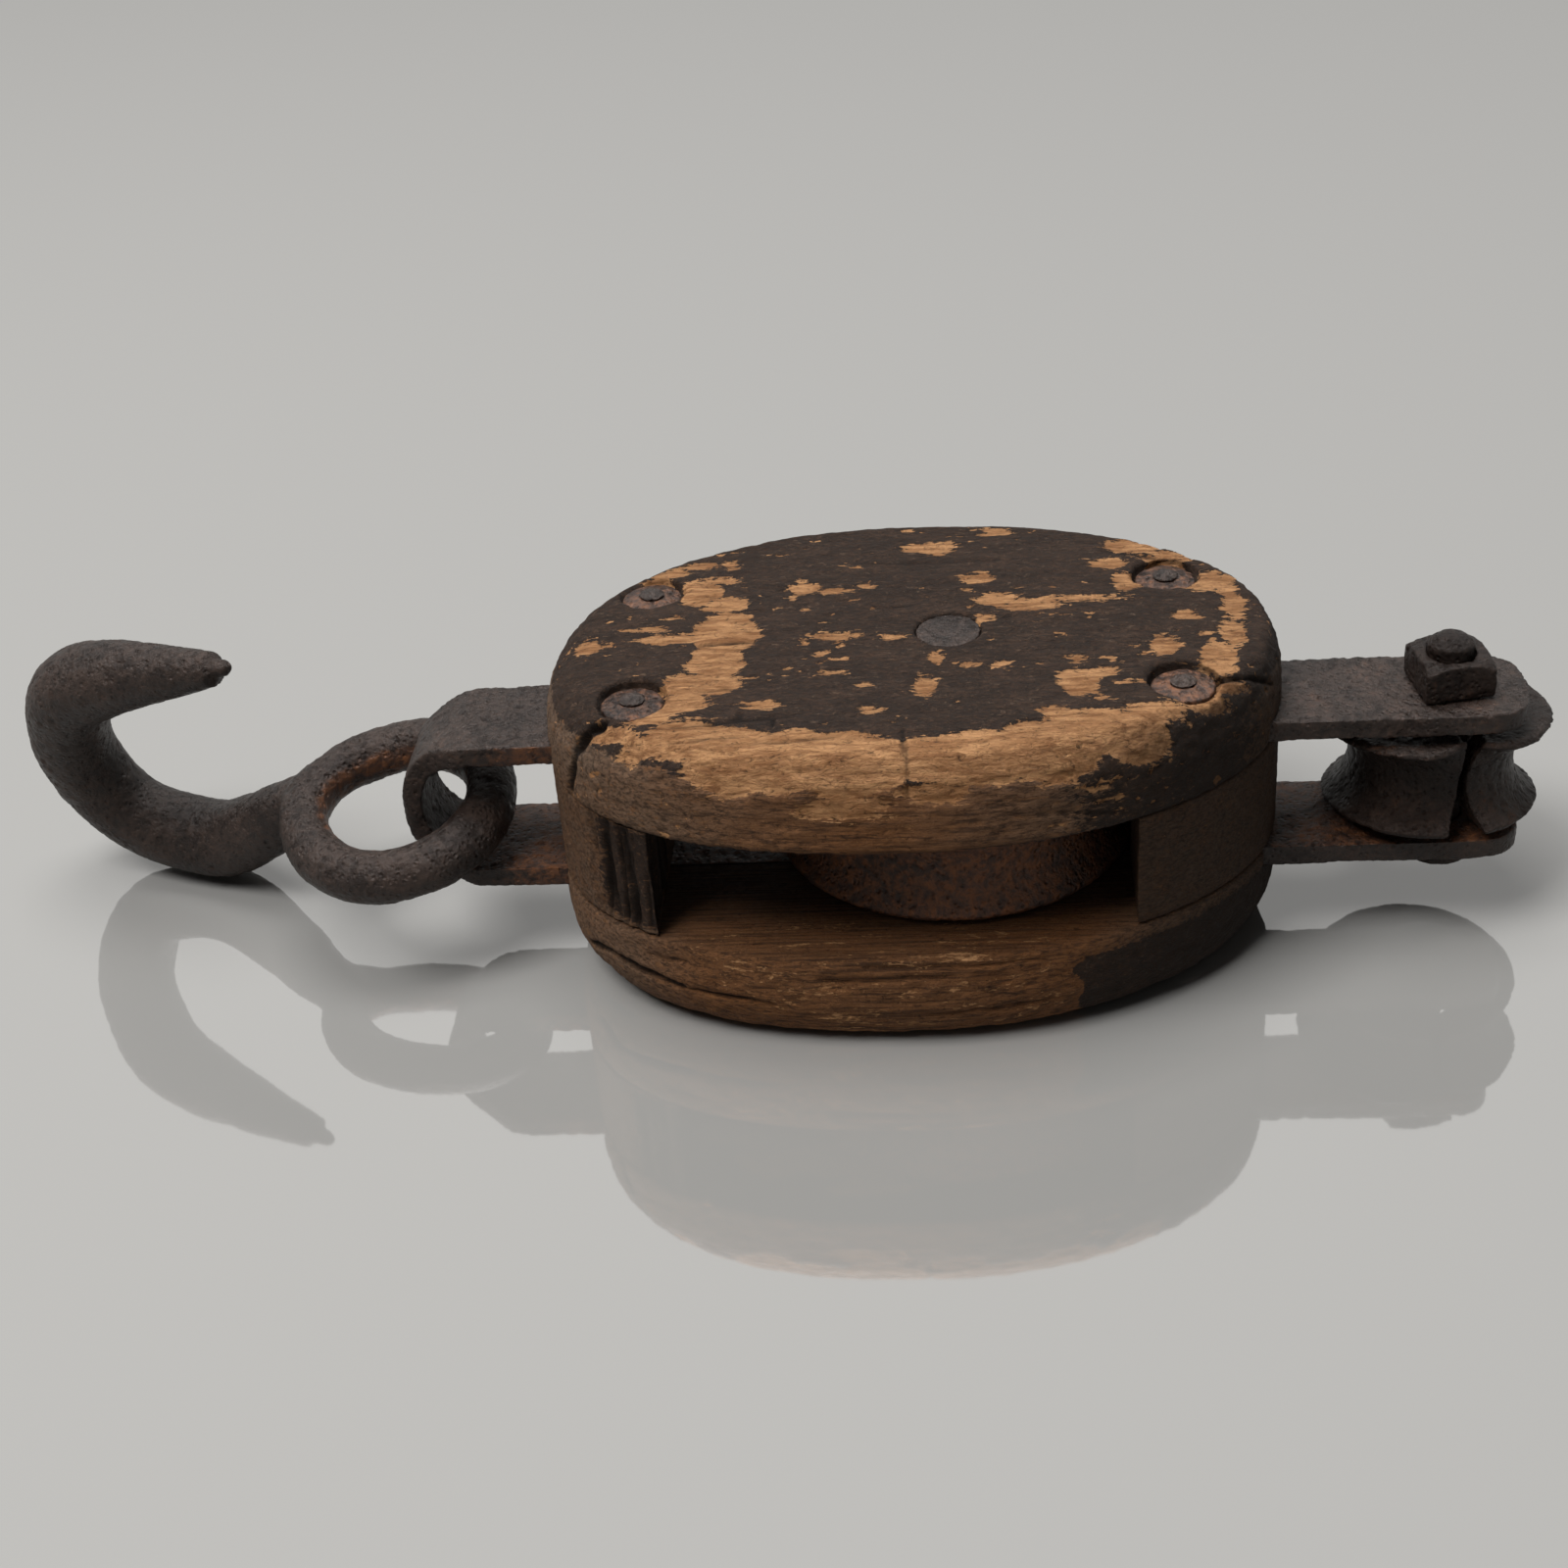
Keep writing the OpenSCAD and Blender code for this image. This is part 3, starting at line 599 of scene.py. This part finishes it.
def grain_relief(points, seed):
    """Ridges of weathered grain along the block, from about -1 to 1."""
    drifted = points.copy()
    drifted[:, 1:] += 1.4 * layered_noise(points / np.array([28.0, 9.0, 9.0]), 2, seed)[:, None]
    ridges = layered_noise(drifted / np.array([26, 1.5, 1.5]), 2, seed + 1)
    return 0.65 * ridges + 0.35 * smooth_noise(drifted / np.array([9, 0.9, 0.9]), seed + 2)


def upper_wear(points, upright, waves, top):
    """The upper cheek's bared, aged and warm places, and the depth of its cracks."""
    along, across = points[:, 0], unrolled(points, top)
    flecks = layered_noise(points / np.array([3.4, 1.5, 1.5]), 3, 57)
    sparse = layered_noise(points / 14.0, 2, 61)
    margin = patch_margin(along, across, points, 3)
    margin = np.maximum(margin, 5 * (flecks + 0.35 * sparse - 0.52))
    bare = np.clip(0.5 + 0.30 * margin, 0, 1)
    front = soft_step(-points[:, 1], 5, 30)
    rubbed = np.clip(1.1 - np.abs(along + 8) / 42, 0, 1) * front
    dark_side = soft_step(along, 12, 48) * front
    aged = np.clip(0.25 + 0.75 * upright, 0, 1) * soft_step(top - points[:, 2], 4, 9)
    aged = aged * (1 - 0.72 * dark_side)
    warm = np.clip(0.15 + 0.8 * rubbed + 0.25 * waves, 0, 1)
    return bare, aged, warm, crack_depth(along, across, UPPER_CRACKS, points)


def lower_wear(points, waves):
    """The same for the lower cheek, which keeps dark paint at one end of its front."""
    along, height = points[:, 0], points[:, 2]
    flecks = layered_noise(points / np.array([9.0, 2.5, 2.5]), 3, 67)
    front = soft_step(-points[:, 1], 10, 40)
    ragged = along + 8 * layered_noise(points / 5.0, 3, 69)
    dark_patch = soft_step(ragged, 32, 34) * soft_step(19.5 - height, 0, 3)
    bare = np.clip(0.28 + 0.35 * flecks, 0, 1) * (1 - dark_patch)
    bare = bare * front * soft_step(50 - np.abs(along + 8), 0, 20)
    aged = 1 - 0.95 * dark_patch - 0.35 * soft_step(along, 36, 60)
    rubbed = front * soft_step(58 - np.abs(along + 5), 0, 22)
    warm = np.clip(0.25 + 0.65 * rubbed + 0.2 * waves, 0, 1)
    depth = crack_depth(along, height, LOWER_CRACKS, points) * (points[:, 1] < 0)
    return bare, aged, warm, depth


def dress_cheek(wood, node, name, material, upper):
    """Carves one cheek: grain, paint and bare patches, cracks, dents and worn edges."""
    mesh = fine_mesh(node, wood.step, 3)
    points, normals = mesh_arrays(mesh)
    low, high = heights(node)
    inner = low if upper else high
    grain_seed, crackle_seed, wave_seed = (11, 13, 31) if upper else (23, 29, 37)
    grain = grain_relief(points, grain_seed)
    crackle = layered_noise(points / np.array([3.4, 1.7, 1.7]), 3, crackle_seed)
    waves = layered_noise(points / np.array([30.0, 14.0, 10.0]), 3, wave_seed)
    dents = np.clip(layered_noise(points / 6.0, 2, 41) - 0.42, 0, None)
    upright = 1 - soft_step(np.abs(normals[:, 2]), 0.25, 0.8)
    if upper:
        bare, aged, warm, depth = upper_wear(points, upright, waves, high)
    else:
        bare, aged, warm, depth = lower_wear(points, waves)
    bared = soft_step(bare, 0.42, 0.58)
    end = soft_step(np.abs(points[:, 0]), 52, 72)
    coarse = 0.55 + 0.75 * bared + 0.9 * upright * end
    lift = wood.grain_depth / MM * grain * coarse + 0.34 * crackle + 0.30 * waves - 0.6 * dents
    lift += wood.paint_depth / MM * (0.4 - bared)
    # The face that lies on the spacers stays flat
    outside = soft_step(np.abs(points[:, 2] - inner), 0.2, 1.6)
    carve(mesh, points, normals, np.clip(lift, -1.4, 0.3) * outside - depth * outside)
    # Painted shade: the faces in the slot and the upright faces towards the right end are darkened
    slot = 1 - soft_step(np.abs(points[:, 2] - inner), 0.0, 1.2)
    right = soft_step(points[:, 0], 30, 62) * upright * (points[:, 1] < 12)
    paint_values(mesh, "bare", bare)
    paint_values(mesh, "aged", aged)
    paint_values(mesh, "warm", warm)
    paint_values(mesh, "crack", np.clip(depth / 0.8, 0, 1) * outside)
    paint_values(mesh, "painted_shade", np.clip(0.42 * slot + 0.62 * right, 0, 1))
    return place_piece(mesh, node, name, material)


def dress_spacer(wood, node, name, material, furrowed=None):
    """Carves a spacer: aged sides, and eroded end grain where furrowed gives a range of X."""
    mesh = fine_mesh(node, wood.step, 3)
    points, normals = mesh_arrays(mesh)
    outside = 1 - soft_step(np.abs(normals[:, 2]), 0.5, 0.9)
    eroded = np.zeros(len(points))
    if furrowed:
        first, last = furrowed
        eroded = soft_step(last - points[:, 0], 0, 0.6) * soft_step(points[:, 0] - first, 0, 4)
        eroded = eroded * soft_step(-points[:, 1], 14, 22)
        eroded = eroded * soft_step(points[:, 2], 21, 25) * soft_step(49 - points[:, 2], 0, 3)
    furrows = layered_noise(points / np.array([1.7, 1.7, 16.0]), 3, 91)
    depth = eroded * np.clip(0.25 - furrows, 0, 1) * 2.4
    grain = np.clip(0.22 * grain_relief(points, 83), -1, 0.2)
    carve(mesh, points, normals, grain * outside - depth - 0.5 * eroded)
    flecks = layered_noise(points / np.array([6.0, 2.0, 2.0]), 3, 97)
    paint_values(mesh, "bare", np.clip(0.16 + 0.3 * flecks, 0, 1) * (1 - eroded))
    paint_values(mesh, "aged", 1 - 0.7 * eroded)
    paint_values(mesh, "warm", np.clip(0.35 + 0.4 * flecks, 0, 1))
    paint_values(mesh, "crack", np.clip(depth, 0, 1))
    # Painted shade, even over the whole spacer, which stands between the cheeks
    paint_values(mesh, "painted_shade", np.full(len(points), 0.25))
    return place_piece(mesh, node, name, material)


def even_rust(value):
    """A rust value that is the same all over a piece."""
    return lambda points, normals: np.full(len(points), value)


def dress_iron(iron, node, material, rust, step=None, smoothing=4, forge=1.0, shape=None):
    """Carves an iron piece: hammered waviness and pits.

    rust gives the rust value at each point, forge scales the relief, and shape
    works on the mesh before it.
    """
    mesh = fine_mesh(node, step or iron.step, smoothing)
    if shape:
        shape(mesh)
    points, normals = mesh_arrays(mesh)
    wave = layered_noise(points / 7.0, 2, 5)
    pits = np.clip(layered_noise(points / 1.8, 2, 9) - 0.18, 0, None)
    scale = layered_noise(points / 0.9, 2, 19)
    hammered = iron.forge_depth / MM * (wave - 0.3)
    pitted = iron.pit_depth / MM * (pits * 3 - 0.8 * scale)
    # Little is added and more is taken off, so that moving pieces stay clear of each other
    carve(mesh, points, normals, np.clip(forge * (hammered - pitted), -0.7, 0.14))
    paint_values(mesh, "rust", rust(points, normals))
    return place_piece(mesh, node, node + "_iron", material)


# Operators, one for each piece or group of like pieces

class PULLEYBLOCK_OT_cheeks(bpy.types.Operator):
    """Make the two painted wooden cheeks"""
    bl_idname = "pulley_block.cheeks"
    bl_label = "Wooden Cheeks"

    def execute(self, context):
        wood = context.scene.pulley_block.wood
        material = weathered_wood(wood, "painted_wood", 0.0)
        dress_cheek(wood, "upper_cheek", "upper_cheek_wood", material, True)
        dress_cheek(wood, "lower_cheek", "lower_cheek_wood", material, False)
        return {"FINISHED"}


class PULLEYBLOCK_OT_spacers(bpy.types.Operator):
    """Make the two wooden spacers between the cheeks"""
    bl_idname = "pulley_block.spacers"
    bl_label = "Spacers"

    def execute(self, context):
        wood = context.scene.pulley_block.wood
        light = weathered_wood(wood, "aged_wood", 0.05)
        # The breech spacer gets a copy of the wood darkened by painted shade
        dark = weathered_wood(wood, "dark_wood", 0.6)
        dress_spacer(wood, "swallow_spacer", "swallow_spacer_wood", light, furrowed=(-66, -50))
        dress_spacer(wood, "breech_spacer", "breech_spacer_wood", dark)
        return {"FINISHED"}


class PULLEYBLOCK_OT_strap(bpy.types.Operator):
    """Make the bent iron strap"""
    bl_idname = "pulley_block.strap"
    bl_label = "Strap"

    def execute(self, context):
        iron = context.scene.pulley_block.iron
        middle = sum(heights("strap")) / 2

        def rust(points, normals):
            inside = soft_step((middle - points[:, 2]) * normals[:, 2], 4, 12)
            near_shell = 1 - soft_step(np.abs(points[:, 0] + 78), 0, 16)
            return 0.12 + 0.3 * inside + 0.35 * near_shell * soft_step(-normals[:, 1], 0.2, 0.8)

        material = forged_iron(iron, "strap_iron", 0.16, shade=0.40, gloss=0.34)
        dress_iron(iron, "strap", material, rust)
        return {"FINISHED"}


class PULLEYBLOCK_OT_sheave(bpy.types.Operator):
    """Make the rusty sheave and its pin"""
    bl_idname = "pulley_block.sheave"
    bl_label = "Sheave and Pin"

    def execute(self, context):
        iron = context.scene.pulley_block.iron
        rusty = forged_iron(iron, "rusty_iron", 0.42)
        plain = forged_iron(iron, "pin_iron", 0.12, shade=0.25, gloss=0.36)
        dress_iron(iron, "sheave", rusty, even_rust(0.2), forge=0.5)
        dress_iron(iron, "sheave_pin", plain, even_rust(0.15),
            smoothing=2, forge=0.4)
        return {"FINISHED"}


class PULLEYBLOCK_OT_rivets(bpy.types.Operator):
    """Make the rivets and the dished roves under their peened ends"""
    bl_idname = "pulley_block.rivets"
    bl_label = "Rivets and Roves"

    def execute(self, context):
        iron = context.scene.pulley_block.iron
        plain = forged_iron(iron, "forged_iron", 0.0)
        rusty = forged_iron(iron, "rove_iron", 0.3)
        kinds = (("rivet", plain, "forged_iron"), ("rove", rusty, "rusty_iron"))
        for (end, side), (kind, material, slot) in itertools.product(RIM_CORNERS, kinds):
            node = f"{end}_{side}_{kind}"
            dress_iron(iron, node, material, even_rust(0.2),
                step=RIVET_STEP, smoothing=2, forge=0.5)
        return {"FINISHED"}


class PULLEYBLOCK_OT_becket(bpy.types.Operator):
    """Make the becket bolt, its nut and the rope thimble"""
    bl_idname = "pulley_block.becket"
    bl_label = "Bolt, Nut and Thimble"

    def execute(self, context):
        iron = context.scene.pulley_block.iron
        # The bolt, nut and thimble share a copy of the iron darkened by painted shade
        dark = forged_iron(iron, "shaded_iron", 0.1, shade=0.68, gloss=0.22)

        def rust(points, normals):
            return 0.16 + 0.2 * layered_noise(points / 9.0, 2, 15)

        def worn_split(mesh):
            """Draws in the upper corners at the thimble's split."""
            points, _ = mesh_arrays(mesh)
            across = points[:, :2] - np.array(THIMBLE_AXIS)
            reach = np.linalg.norm(across, axis=1)
            turn = np.degrees(np.arctan2(across[:, 0], -across[:, 1])) - THIMBLE_SPLIT_TURN
            # Only the upper flange is worn, and its rim the most
            worn = np.exp(-((turn / THIMBLE_WORN_TURN) ** 2))
            worn = worn * soft_step(points[:, 2], 35, 41) * soft_step(reach, 16.5, 23)
            points[:, :2] -= (THIMBLE_WORN_IN * worn / np.maximum(reach, 1))[:, None] * across
            write_points(mesh, points)

        shapes = {"becket_bolt": None, "becket_nut": None, "becket_thimble": worn_split}
        for node, shape in shapes.items():
            dress_iron(iron, node, dark, rust,
                step=BECKET_STEP, smoothing=3, shape=shape)
        return {"FINISHED"}


class PULLEYBLOCK_OT_hook(bpy.types.Operator):
    """Make the forged hook and its eye"""
    bl_idname = "pulley_block.hook"
    bl_label = "Hook"

    def execute(self, context):
        iron = context.scene.pulley_block.iron
        eye = np.array((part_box("hook")[1].x / MM - HOOK_EYE_RADIUS, 0, HOOK_EYE_HEIGHT))

        def rust(points, normals):
            towards = points - eye
            away = np.linalg.norm(towards, axis=1)
            inward = -np.sum(towards * normals, 1) / np.maximum(away, 1)
            return 0.05 + 0.5 * soft_step(inward, 0.2, 0.9) * (1 - soft_step(away, 18, 26))

        def shape(mesh):
            """Softens the neck and draws out a small nub at the point."""
            soften_near(mesh, HOOK_NECK, radius=17, rounds=60)
            points, _ = mesh_arrays(mesh)
            away = points - np.array(HOOK_POINT)
            ahead = np.array(HOOK_AHEAD)
            reach = away @ ahead
            beside = away - reach[:, None] * ahead
            near = np.linalg.norm(away, axis=1) < HOOK_POINT_REACH
            nub = near * soft_step(reach, -0.6, 0.9)
            drawn = HOOK_NUB_LENGTH * nub * soft_step(reach, 0.3, 2.0)
            points += drawn[:, None] * ahead - HOOK_NUB_WAIST * nub[:, None] * beside
            write_points(mesh, points)

        material = forged_iron(iron, "hook_iron", 0.06, shade=0.38, gloss=0.33)
        dress_iron(iron, "hook", material, rust, shape=shape)
        return {"FINISHED"}


SENSOR_WIDTH_MM = 36
# The table, in metres: half its size, its gap below the block, and the distances
# over which it fades into the room
TABLE_REACH = 40.0
TABLE_GAP = 0.0002
TABLE_FADE = (0.8, 2.2)
TABLE_ROUGHNESS = 0.035
ROOM_LIGHT = 0.08
LAMP_SIZE = 1.0
# Name, place in metres, power in watts, and whether it gives sheen alone
LAMPS = (
    ("window", (-0.85, -0.55, 1.95), 60, False),
    ("ceiling", (-0.15, 0.25, 2.05), 28, False),
    ("sheen", (-0.15, 0.25, 2.05), 90, True),
)


class PULLEYBLOCK_OT_stage(bpy.types.Operator):
    """Make the camera, the lamps and the glossy table"""
    bl_idname = "pulley_block.stage"
    bl_label = "Stage"

    def execute(self, context):
        scene = context.scene
        stage = scene.pulley_block.stage
        scene.view_settings.view_transform = "Standard"
        self.camera(scene, stage)
        self.lamps(scene, self.table(scene, stage))
        self.room(scene, stage)
        return {"FINISHED"}

    def camera(self, scene, stage):
        """The camera, turned by azimuth and elevation, then rolled about its view."""
        az, el, ro = (math.radians(a) for a in (stage.azimuth, stage.elevation, stage.roll))
        ahead = Vector((-math.sin(az) * math.cos(el), math.cos(az) * math.cos(el), -math.sin(el)))
        right = Vector((math.cos(az), math.sin(az), 0))
        above = right.cross(ahead)
        rolled_right = right * math.cos(ro) + above * math.sin(ro)
        rolled_above = above * math.cos(ro) - right * math.sin(ro)
        camera = bpy.data.objects.new("camera", bpy.data.cameras.new("camera"))
        camera.data.lens = stage.lens
        camera.data.sensor_width = SENSOR_WIDTH_MM
        camera.data.clip_start = 0.01
        turn = Matrix((rolled_right, rolled_above, -ahead)).transposed().to_4x4()
        camera.matrix_world = Matrix.Translation(Vector(stage.eye)) @ turn
        scene.collection.objects.link(camera)
        scene.camera = camera

    def table(self, scene, stage):
        """A glossy table, which fades into the room far from the block."""
        mesh = bmesh.new()
        bmesh.ops.create_grid(mesh, x_segments=2, y_segments=2, size=TABLE_REACH)
        data = bpy.data.meshes.new("table")
        mesh.to_mesh(data)
        mesh.free()
        table = bpy.data.objects.new("table", data)
        table.location = (0, 0, CAD_LOW.z - TABLE_GAP)
        scene.collection.objects.link(table)
        n = Nodes("glossy_table")
        matt = n.node("ShaderNodeBsdfDiffuse", {"Color": toned(stage.table)})
        gloss = n.node("ShaderNodeBsdfGlossy", {"Color": (1, 1, 1), "Roughness": TABLE_ROUGHNESS})
        haze = n.node("ShaderNodeEmission", {"Color": toned(stage.room)})
        away = n.node("ShaderNodeVectorMath", {0: n.coordinates}, operation="LENGTH")
        fade = n.math("MULTIPLY", n.band(away.outputs["Value"], *TABLE_FADE), seen_rays(n.tree))
        near = n.mix_shader(stage.gloss, matt.outputs[0], gloss.outputs[0])
        data.materials.append(n.finish(n.mix_shader(fade, near, haze.outputs[0])))
        return table

    def lamps(self, scene, table):
        """Soft lamps. The one for sheen lights the pieces alone, so the table doesn't mirror it."""
        without_sheen = bpy.data.collections.new("without_sheen")
        without_sheen.objects.link(table)
        without_sheen.collection_objects[0].light_linking.link_state = "EXCLUDE"
        for name, place, power, sheen in LAMPS:
            lamp = bpy.data.lights.new(name, "AREA")
            lamp.size = LAMP_SIZE
            lamp.energy = power
            lit = bpy.data.objects.new(name, lamp)
            lit.location = place
            lit.rotation_euler = (-Vector(place)).to_track_quat("-Z", "Y").to_euler()
            lit.visible_glossy = sheen
            lit.visible_diffuse = not sheen
            if sheen:
                lit.light_linking.receiver_collection = without_sheen
            scene.collection.objects.link(lit)

    def room(self, scene, stage):
        """A pale room to look at, which itself gives the pieces little light."""
        world = bpy.data.worlds.new("room")
        scene.world = world
        world.use_nodes = True
        tree = world.node_tree
        tree.nodes.clear()
        mixed = tree.nodes.new("ShaderNodeMixShader")
        tree.links.new(seen_rays(tree), mixed.inputs[0])
        shades = (((1, 1, 1), ROOM_LIGHT), (stage.room, 1))
        for place, (colour, strength) in enumerate(shades, start=1):
            shade = tree.nodes.new("ShaderNodeBackground")
            shade.inputs["Color"].default_value = (*colour, 1)
            shade.inputs["Strength"].default_value = strength
            tree.links.new(shade.outputs[0], mixed.inputs[place])
        output = tree.nodes.new("ShaderNodeOutputWorld")
        tree.links.new(mixed.outputs[0], output.inputs["Surface"])


class PULLEYBLOCK_PT_panel(bpy.types.Panel):
    """Lists the pulley block's settings and pieces"""
    bl_idname = "PULLEYBLOCK_PT_panel"
    bl_label = "Pulley Block"
    bl_space_type = "VIEW_3D"
    bl_region_type = "UI"
    bl_category = "Pulley Block"

    def draw(self, context):
        settings = context.scene.pulley_block
        groups = {"Wood": settings.wood, "Iron": settings.iron, "Stage": settings.stage}
        for label, group in groups.items():
            box = self.layout.box()
            box.label(text=label)
            for name in group.__annotations__:
                box.prop(group, name)
        for operator in OPERATORS:
            self.layout.operator(operator.bl_idname)


OPERATORS = (
    PULLEYBLOCK_OT_stage,
    PULLEYBLOCK_OT_cheeks,
    PULLEYBLOCK_OT_spacers,
    PULLEYBLOCK_OT_strap,
    PULLEYBLOCK_OT_sheave,
    PULLEYBLOCK_OT_rivets,
    PULLEYBLOCK_OT_becket,
    PULLEYBLOCK_OT_hook,
)
CLASSES = (
    PulleyBlockWood,
    PulleyBlockIron,
    PulleyBlockStage,
    PulleyBlockSettings,
    *OPERATORS,
    PULLEYBLOCK_PT_panel,
)


def register():
    """Registers the classes and the scene's settings."""
    for cls in CLASSES:
        bpy.utils.register_class(cls)
    bpy.types.Scene.pulley_block = bpy.props.PointerProperty(type=PulleyBlockSettings)


def unregister():
    """Takes away what register added."""
    del bpy.types.Scene.pulley_block
    for cls in reversed(CLASSES):
        bpy.utils.unregister_class(cls)


def main():
    """Makes every piece in order."""
    register()
    for operator in OPERATORS:
        area, name = operator.bl_idname.split(".")
        getattr(getattr(bpy.ops, area), name)()


if __name__ == "__main__":
    main()
